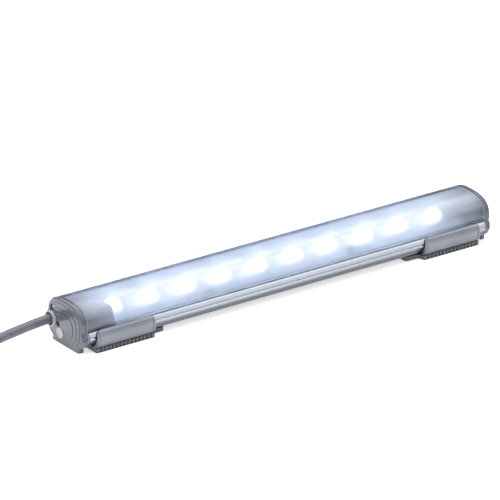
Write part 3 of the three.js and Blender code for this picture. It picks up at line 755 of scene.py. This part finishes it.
def grip_profile():
    profile = [(0, 0), (3.3, 0), (3.7, 0.3)]
    for ring in range(4):
        at = 0.9 + 2.1 * ring
        base = 3.75 + 0.28 * ring
        profile += [(base, at), (base + 0.35, at + 0.35), (base + 0.35, at + 1.0), (base, at + 1.35)]
    profile += [(4.9, 9.3), (6.2, 10.4), (6.5, 11.0), (6.6, 11.6), (6.6, 23.2), (6.4, 23.9)]
    profile.append((5.6, 25.5))
    return profile + [(5.6, 39.7), (5.3, 40), (4.5, 40), (4.2, 39.7), (4.2, 36), (0, 36)]


def grip_flutes(angle, radius, height):
    inside = 12.5 < height < 22.5 and radius > 6
    return radius - (0.22 * max(0, math.cos(12 * angle)) ** 2 if inside else 0)


def dense(profile, start, end, step=0.5):
    """The same profile with extra points where it runs straight between two heights."""
    out = []
    for (r0, h0), (r1, h1) in zip(profile, profile[1:]):
        out.append((r0, h0))
        if h0 >= start and h1 <= end and h1 - h0 > 2 * step:
            count = int((h1 - h0) / step)
            out += [(r0 + (r1 - r0) * i / count, h0 + (h1 - h0) * i / count) for i in range(1, count)]
    return out + [profile[-1]]


plug_body = turned("connector_grip", dense(grip_profile(), 10, 24), PLUG, "X", 96, 32, grip_flutes)
stand_for(plug_body, "plug_body")


def knurl(angle, radius, height):
    return radius - (0.16 * (0.5 + 0.5 * math.cos(36 * angle)) if radius > 7.1 else 0)


nut_profile = [(5.9, 26.2), (6.7, 26.2), (6.95, 26.45), (7.0, 27.0), (7.2, 27.3), (7.2, 34.6),
               (7.0, 34.9), (6.85, 35.2), (6.85, 38.7), (6.6, 39.2), (6.2, 39.4), (5.9, 39.4),
               (5.9, 26.2)]
plug_nut = turned("coupling_nut_knurled", nut_profile, PLUG, "X", 216, 30, knurl)
stand_for(plug_nut, "plug_nut", "coupling_nut")

pins = []
for number, (y, z) in enumerate([(1.8, 0), (0, 1.8), (-1.8, 0), (0, -1.8)], 1):
    profile = [(0, 36.1), (0.5, 36.1), (0.5, 39.2), (0.42, 39.45), (0.2, 39.6), (0, 39.6)]
    pin = turned(f"contact_pin_{number}", profile, (PLUG[0], PLUG[1] + y, PLUG[2] + z), "X", 20)
    pins.append(stand_for(pin, f"plug_pin_{number}"))

# %% [markdown]
# ## Straps
# Two rubber straps keep the turns together. Each is a flat band bent round the bundle, so it is
# lofted as a rounded frame with an inside and an outside, and it takes up the bundle's own size.

# %% Straps round the hank
def strap_outline(radius_in, radius_out, low, high, corner):
    """A rounded frame round the band of turns, as (distance, height)."""
    points = []
    corners = [(radius_out, high, 0), (radius_in, high, 90), (radius_in, low, 180),
               (radius_out, low, 270)]
    for cr, cz, start in corners:
        cr += -corner if start in (0, 270) else corner
        cz += -corner if start in (0, 90) else corner
        points += arc(cr, cz, corner, start, start + 90, 5)
    return points


def hank_strap(name, side, width=9.0, steps=6):
    """A strap round the bundle, at the middle of one of its straight runs."""
    offset = SLOT * math.cos(math.radians(45)) + CABLE_RADIUS / MM
    inner_wall, outer_wall = BEND_RADIUS - offset, BEND_RADIUS + offset
    inside = strap_outline(inner_wall, outer_wall, 0.09, 2 * offset + 0.1, 3.0)
    outside = strap_outline(inner_wall - 0.5, outer_wall + 0.5, 0.02, 2 * offset + 0.6, 3.4)
    rings = []
    for outline, order in ((inside, 1), (outside, -1)):
        for i in range(steps + 1)[::order]:
            x = hank_middle.x - width / 2 + width * i / steps
            rings.append([(x, hank_middle.y + side * r, z) for r, z in outline])
    strap = loft(name, rings, 30, closed=True)
    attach(strap, "lamp")
    return strap


straps = [hank_strap("hank_strap_far_side", 1), hank_strap("hank_strap_near_side", -1)]
print("strap faces:", [len(strap.data.polygons) for strap in straps])

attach(cable, "lamp")
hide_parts("cable_run", "cable_hank", "cable_tail")
print("cable exit in mm:", RUN[0])

# %% [markdown]
# ## One small tool for materials
# Colours are easiest to read as hex codes, but the shader needs linear light, so one function
# converts them. Another adds a node with its settings and links. Pattern sizes are thought of in
# millimetres and turned into texture scales, because the object coordinates are metres.

# %% Node helper
def colour(code):
    """Linear colour from an sRGB hex code."""
    channels = [int(code[i:i + 2], 16) / 255 for i in (0, 2, 4)]
    linear = [c / 12.92 if c <= 0.04045 else ((c + 0.055) / 1.055) ** 2.4 for c in channels]
    return (*linear, 1.0)


def per(size_mm):
    """Texture scale for features of a size in millimetres."""
    return 1 / (size_mm * MM)


def add(tree, kind, values=None, settings=None, links=None):
    """Adds a node; values go on its input sockets, links are (node, output) pairs."""
    node = tree.nodes.new("ShaderNode" + kind)
    for key, value in (settings or {}).items():
        setattr(node, key, value)
    for key, value in (values or {}).items():
        node.inputs[key].default_value = value
    for key, (source, output) in (links or {}).items():
        tree.links.new(source.outputs[output], node.inputs[key])
    return node


def new_material(name):
    """An empty material with its output node and object coordinates."""
    made = bpy.data.materials.new(name)
    made.use_nodes = True
    tree = made.node_tree
    tree.nodes.clear()
    return made, tree, add(tree, "OutputMaterial"), add(tree, "TexCoord")


def ramp(tree, source, stops):
    """A colour ramp over a source pair, with (place, hex) stops."""
    node = add(tree, "ValToRGB", links={"Fac": source})
    elements = node.color_ramp.elements
    while len(elements) < len(stops):
        elements.new(0.5)
    for element, (place, code) in zip(elements, stops):
        element.position = place
        element.color = colour(code)
    return node


def use(material, *objects):
    """Gives the material to made pieces and, by name, to model nodes."""
    for item in objects:
        target = bpy.data.objects[item] if isinstance(item, str) else item
        if target.material_slots:
            for one in target.material_slots:
                one.material = material
        else:
            target.data.materials.append(material)


def surface(name, low, high, patch, grain, roughness, bump=0.02, stretch=(1, 1, 1), **fixed):
    """A material whose colour drifts between two hex codes and whose surface has a fine grain.

    patch is the size of the drift and grain the size of the relief, in millimetres. roughness is a
    pair of numbers. stretch squeezes the grain along an axis. fixed are constant shader values.
    """
    made, tree, output, place = new_material(name)
    mapped = add(tree, "Mapping", {"Scale": stretch}, links={"Vector": (place, "Object")})
    spot = {"Vector": (mapped, "Vector")}
    drift = add(tree, "TexNoise", {"Scale": per(patch), "Detail": 3}, links=spot)
    fine = add(tree, "TexNoise", {"Scale": per(grain), "Detail": 4}, links=spot)
    tint = ramp(tree, (drift, "Fac"), [(0.3, low), (0.7, high)])
    limits = {"From Min": 0.3, "From Max": 0.7, "To Min": roughness[0], "To Max": roughness[1]}
    gloss = add(tree, "MapRange", limits, links={"Value": (fine, "Fac")})
    relief = add(tree, "Bump", {"Strength": 0.3, "Distance": bump * MM},
                 links={"Height": (fine, "Fac")})
    maps = {"Base Color": (tint, "Color"), "Roughness": (gloss, "Result"),
            "Normal": (relief, "Normal")}
    shader = add(tree, "BsdfPrincipled", fixed, links=maps)
    tree.links.new(shader.outputs["BSDF"], output.inputs["Surface"])
    return made


print("mid grey in linear light:", round(colour("808080")[0], 3))

# %% [markdown]
# ## Metals
# The rail is satin anodised aluminium, straight from the die: very fine lines run along it, so its
# grain is stretched lengthways and its gloss is soft. Its lower flank is drawn darker by height,
# which stands for the shade there and not for the metal. The screws are bright zinc-plated steel,
# the connector's nut is nickel over brass, and its pins are gold over brass.

# %% Anodised rail, steel and nickel
def by_height(tree, place, levels):
    """A grey that follows the height in mm: levels are (height, sRGB hex) pairs."""
    low, high = levels[0][0], levels[-1][0]
    split = add(tree, "SeparateXYZ", links={"Vector": (place, "Object")})
    span = add(tree, "MapRange", {"From Min": low * MM, "From Max": high * MM},
               links={"Value": (split, "Z")})
    stops = [((level - low) / (high - low), tone) for level, tone in levels]
    return ramp(tree, (span, "Result"), stops)


def shaded(tree, colour_link, shade):
    """A colour multiplied by a shade."""
    factors = {0: colour_link, 1: (shade, "Color")}
    return add(tree, "VectorMath", settings={"operation": "MULTIPLY"}, links=factors)


anodised = surface("anodised_aluminium_extruded", "8f949b", "a0a5ac", 9, 0.35, (0.2, 0.3), 0.01,
                   (0.02, 1, 1), Metallic=1.0)
steel = surface("zinc_plated_steel_pressed", "c2c5c9", "d2d4d6", 1.5, 0.2, (0.22, 0.36), 0.01,
                Metallic=1.0)
nickel = surface("nickel_plated_brass_turned", "b9b4a8", "c9c5bb", 2.0, 0.25, (0.2, 0.34), 0.01,
                 Metallic=1.0)
gold = surface("gold_plated_pins_turned", "c9a14a", "d8b462", 1.0, 0.2, (0.2, 0.3), 0.005,
               Metallic=1.0)


def node_of(material, kind):
    """The first node of a kind in a finished material."""
    return next(n for n in material.node_tree.nodes if n.bl_idname == "ShaderNode" + kind)


def shade_by_height(material, levels):
    """Multiplies a finished surface's colour by a grey that follows the height."""
    tree = material.node_tree
    place = node_of(material, "TexCoord")
    shader = node_of(material, "BsdfPrincipled")
    base = shader.inputs["Base Color"].links[0]
    result = shaded(tree, (base.from_node, base.from_socket.name), by_height(tree, place, levels))
    tree.links.new(result.outputs["Vector"], shader.inputs["Base Color"])


flank = [(0, "a6a8ab"), (7.5, "acaeb1"), (9.0, "ffffff"), (14.0, "ffffff")]
shade_by_height(anodised, flank)
use(anodised, rail)
use(steel, *cap_screws, "board_screw_1", "board_screw_2")
use(nickel, plug_nut)
use(gold, *pins)
print("metals:", [made.name for made in (anodised, steel, nickel, gold)])

# %% [markdown]
# ## Moulded plastics
# Caps and clips are injection moulded in a smoky grey polycarbonate. It leaves a polished mould, so
# it is glossy, with a trace of flow in its colour. The clips are the lighter of the two. They are
# drawn darker toward the foot, which stands for the shade there more than for the plastic itself.
# The connector's grip, the terminal block and the driver chips have a matt black skin. The seal and
# the straps are black rubber, and the gaskets are grey silicone.

# %% Grey and black plastics, rubber
smoky = surface("smoky_polycarbonate_moulded", "565962", "656871", 14, 0.5, (0.1, 0.18), 0.008,
                IOR=1.58)
clip_plastic = surface("grey_polycarbonate_moulded", "7f838b", "8d9199", 16, 0.6, (0.08, 0.15),
                       0.01, IOR=1.58)
clip_fade = [(0, "7c7d7f"), (2.4, "a2a3a5"), (4.5, "bcbdbf"), (6.5, "dcddde"), (10.4, "eaeaea"),
             (12, "ffffff")]
shade_by_height(clip_plastic, clip_fade)
light_grey = surface("light_grey_abs_moulded", "a9abae", "b7b9bb", 3, 0.25, (0.3, 0.42), 0.015,
                     IOR=1.53)
block_grey = surface("hood_polycarbonate_moulded", "d3d5dc", "dcdee4", 8, 0.4, (0.4, 0.5), 0.01,
                     IOR=1.58)
black_plastic = surface("black_polyamide_textured", "1c1d20", "27282c", 4, 0.35, (0.45, 0.6), 0.03,
                        IOR=1.53)
rubber = surface("black_rubber_moulded", "121314", "1c1d1f", 3, 0.3, (0.6, 0.75), 0.02, IOR=1.52)
use(smoky, *caps)
use(clip_plastic, *clips)
use(light_grey, gland, *vents)
use(block_grey, hood)
use(black_plastic, plug_body, "terminal_block", "driver_chip_1", "driver_chip_2")
grey_silicone = surface("grey_silicone_moulded", "9fa1a7", "a9abb1", 3, 0.3, (0.5, 0.62), 0.02,
                        IOR=1.41)
use(rubber, seal, *straps)
use(grey_silicone, "gasket_cable", "gasket_far")

# %% [markdown]
# ## Cable and leads
# The cable's sheath is extruded PVC. It comes out of the extruder with a faint orange-peel skin and
# a dull gloss. The two leads inside are the same plastic in brown and blue.

# %% PVC
cable_pvc = surface("grey_pvc_extruded", "575862", "666771", 5, 0.45, (0.36, 0.5), 0.03, IOR=1.54)
brown_pvc = surface("brown_pvc_extruded", "5b3520", "6b4229", 2, 0.3, (0.4, 0.5), 0.01, IOR=1.54)
blue_pvc = surface("blue_pvc_extruded", "2a5590", "35659f", 2, 0.3, (0.4, 0.5), 0.01, IOR=1.54)
use(cable_pvc, cable, "cable_inner")
use(brown_pvc, "lead_brown")
use(blue_pvc, "lead_blue")
print("sheaths:", [made.name for made in (cable_pvc, brown_pvc, blue_pvc)])

# %% [markdown]
# ## Circuit board
# White solder mask over copper: the tracks under it lift it by a few hundredths of a millimetre.
# Real tracks are too fine to tell apart here, so they are drawn 0.6 mm wide. The chips' tops are
# the pale yellow of a phosphor layer.

# %% Board and small parts
board_mask = surface("white_solder_mask_printed", "e6eaed", "f2f4f6", 6, 0.5, (0.4, 0.5), 0.01,
                     IOR=1.5)
board_tree = board_mask.node_tree
board_shader = node_of(board_mask, "BsdfPrincipled")
tracks = add(board_tree, "TexBrick", {"Scale": per(26.0), "Mortar Size": 0.012, "Mortar Smooth": 0.3},
             links={"Vector": (node_of(board_mask, "TexCoord"), "Object")})
fine_relief = board_shader.inputs["Normal"].links[0].from_node
track_relief = add(board_tree, "Bump", {"Strength": 0.5, "Distance": 0.05 * MM},
                   links={"Height": (tracks, "Fac"), "Normal": (fine_relief, "Normal")})
board_tree.links.new(track_relief.outputs["Normal"], board_shader.inputs["Normal"])
phosphor = surface("yellow_phosphor_cast", "e6da86", "f3e9a0", 1, 0.15, (0.5, 0.6), 0.01, IOR=1.45)
resistor_black = surface("resistor_ceramic_fired", "202124", "2c2d30", 0.8, 0.15, (0.4, 0.5), 0.01,
                         IOR=1.6)
use(board_mask, "led_board")
use(phosphor, *[name for name in nodes if name.startswith("led_chip_")])
use(resistor_black, *[name for name in nodes if name.startswith("resistor_")])

# %% [markdown]
# ## Glowing domes
# Each dome of cast silicone glows cool white over its chip. The light is strongest on top and
# weaker toward the foot, so height drives the glow. It is far brighter than the room, because a lit
# LED outshines everything near it.

# %% LED glow
GLOW = 14.0
glow_material, glow_tree, glow_output, glow_place = new_material("clear_silicone_cast_lit")
split = add(glow_tree, "SeparateXYZ", links={"Vector": (glow_place, "Object")})
lens_low, lens_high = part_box("led_lens_01")
height = add(glow_tree, "MapRange", {"From Min": lens_low.z + 1.0 * MM, "From Max": lens_high.z},
             links={"Value": (split, "Z")})
peaked = add(glow_tree, "Math", {1: 1.6}, {"operation": "POWER"}, {0: (height, "Result")})
strength = add(glow_tree, "MapRange", {"To Min": 0.3, "To Max": GLOW},
               links={"Value": (peaked, "Value")})
glow_shader = add(glow_tree, "BsdfPrincipled",
                  {"Base Color": colour("f4f6fa"), "Roughness": 0.15, "IOR": 1.41,
                   "Emission Color": colour("f4f7ff")},
                  links={"Emission Strength": (strength, "Result")})
glow_tree.links.new(glow_shader.outputs["BSDF"], glow_output.inputs["Surface"])
use(glow_material, *domes)
print("glowing domes:", len(domes))

# %% [markdown]
# ## Frosted cover
# The cover is clear polycarbonate with a frosted inside. The smooth outside only mirrors a little
# and lets the rest through. At the rough inside part of the light is bent aside by small angles,
# which blurs the LEDs into soft spots, and part is spread in all directions, as grit does. So the
# cover's mesh has two materials, one for each side of the wall. Light that crosses the wall at a
# slant takes a longer way through it, so the plastic is drawn a deeper blue grey toward the edges.
# The foot is drawn darker by height, which stands for the shade in the rail's groove. The outside
# is a thin clear skin that doesn't bend light, which is simpler than a real wall that bends it at
# both sides.

# %% Polished outside
polished, tree, output, place = new_material("polycarbonate_extruded_polished")
cloud = add(tree, "TexNoise", {"Scale": per(30.0), "Detail": 2}, links={"Vector": (place, "Object")})
tint = ramp(tree, (cloud, "Fac"), [(0.3, "f0f2f6"), (0.7, "f6f7fa")])
slant = add(tree, "LayerWeight", {"Blend": 0.5})
depth = ramp(tree, (slant, "Facing"), [(0.45, "ffffff"), (0.7, "dce4f1"), (0.92, "9aa9c6")])
foot = by_height(tree, place, [(13.6, "8e939b"), (14.5, "9fa5ad"), (14.9, "d6dae0"),
                               (17.5, "dfe3e9"), (21.5, "ffffff")])
deeper = shaded(tree, (tint, "Color"), depth)
clear = shaded(tree, (deeper, "Vector"), foot)
skin = add(tree, "TexNoise", {"Scale": per(0.8), "Detail": 3}, links={"Vector": (place, "Object")})
gloss = add(tree, "MapRange", {"From Min": 0.3, "From Max": 0.7, "To Min": 0.22, "To Max": 0.3},
            links={"Value": (skin, "Fac")})
mirror = add(tree, "BsdfGlossy", links={"Color": (tint, "Color"), "Roughness": (gloss, "Result")})
window = add(tree, "BsdfTransparent", links={"Color": (clear, "Vector")})
share = add(tree, "Fresnel", {"IOR": 1.58})
skin_mix = add(tree, "MixShader", links={"Fac": (share, "Fac")})
tree.links.new(window.outputs["BSDF"], skin_mix.inputs[1])
tree.links.new(mirror.outputs["BSDF"], skin_mix.inputs[2])
tree.links.new(skin_mix.outputs["Shader"], output.inputs["Surface"])

# %% Frosted inside
frosted, tree, output, place = new_material("polycarbonate_frosted_blasted")
grit = add(tree, "TexNoise", {"Scale": per(0.5), "Detail": 4}, links={"Vector": (place, "Object")})
relief = add(tree, "Bump", {"Strength": 0.25, "Distance": 0.02 * MM}, links={"Height": (grit, "Fac")})
gloss = add(tree, "MapRange", {"From Min": 0.3, "From Max": 0.7, "To Min": 0.78, "To Max": 0.88},
            links={"Value": (grit, "Fac")})
cloud = add(tree, "TexNoise", {"Scale": per(30.0), "Detail": 2}, links={"Vector": (place, "Object")})
tint = ramp(tree, (cloud, "Fac"), [(0.3, "e6ebf2"), (0.7, "edf1f6")])
bent = add(tree, "BsdfRefraction", {"IOR": 1.25},
           links={"Color": (tint, "Color"), "Roughness": (gloss, "Result"),
                  "Normal": (relief, "Normal")})
straight = add(tree, "BsdfTransparent", links={"Color": (tint, "Color")})
spread = add(tree, "BsdfTranslucent", links={"Color": (tint, "Color"), "Normal": (relief, "Normal")})
returned = add(tree, "BsdfDiffuse", links={"Color": (tint, "Color"), "Normal": (relief, "Normal")})


def mixed(tree, fac, first, second):
    """A mix of two shaders, given as (node, output) pairs."""
    mix = add(tree, "MixShader", {"Fac": fac})
    for socket, (source, name) in zip((1, 2), (first, second)):
        tree.links.new(source.outputs[name], mix.inputs[socket])
    return mix


seen_through = mixed(tree, 0.1, (bent, "BSDF"), (straight, "BSDF"))
haze = mixed(tree, 0.85, (spread, "BSDF"), (returned, "BSDF"))
whole = mixed(tree, 0.55, (seen_through, "Shader"), (haze, "Shader"))
tree.links.new(whole.outputs["Shader"], output.inputs["Surface"])

cover.data.materials.append(polished)
cover.data.materials.append(frosted)
for face in cover.data.polygons:
    outward = face.center.y * face.normal.y + (face.center.z - DOME_Z * MM) * face.normal.z
    face.material_index = 0 if outward > 0 else 1
print("frosted faces:", sum(face.material_index for face in cover.data.polygons))

# %% [markdown]
# ## Floor, world and lights
# The floor is a plain, faintly backlit table, which keeps the shadow pale. The world stands for a
# white tent that is greyer near the ground, and two soft lights give the plastic its long
# highlights and leave the underside darker.

# %% Studio
FLOOR = 3.0
edge = FLOOR / MM
corners = [(-edge, -edge, 0), (edge, -edge, 0), (edge, edge, 0), (-edge, edge, 0)]
floor = piece("studio_floor", corners, [(0, 1, 2, 3)])
floor_paint = surface("backlit_acrylic_matt", "f4f4f4", "f7f7f7", 200, 5, (0.8, 0.9), 0.01,
                      **{"Emission Color": colour("ffffff"), "Emission Strength": 0.6})
use(floor_paint, floor)

world = bpy.data.worlds.new("grey_tent")
world.use_nodes = True
world_tree = world.node_tree
sky = world_tree.nodes["Background"]
direction = add(world_tree, "TexCoord")
up = add(world_tree, "SeparateXYZ", links={"Vector": (direction, "Generated")})
tent = ramp(world_tree, (up, "Z"), [(0.0, "8f9399"), (0.3, "a4a8ae"), (0.6, "f4f6fa")])
world_tree.links.new(tent.outputs["Color"], sky.inputs["Color"])
sky.inputs["Strength"].default_value = 0.8
bpy.context.scene.world = world
bpy.context.scene.view_settings.view_transform = "Standard"


def soft_light(name, place, aim, size, power):
    """A square area light in metres and watts, turned toward a point."""
    data = bpy.data.lights.new(name, "AREA")
    data.size = size
    data.energy = power
    made = bpy.data.objects.new(name, data)
    made.location = place
    made.rotation_mode = "QUATERNION"
    made.rotation_quaternion = (Vector(place) - Vector(aim)).to_track_quat("Z", "Y")
    bpy.context.scene.collection.objects.link(made)
    return made


lights = [
    soft_light("overhead_softbox", (0.1, 0.4, 1.6), (0, 0, 0), 2.6, 46),
    soft_light("right_softbox", (0.9, -0.9, 1.15), (0, 0, 0), 0.8, 3.5),
]
print("lights:", [light.name for light in lights])
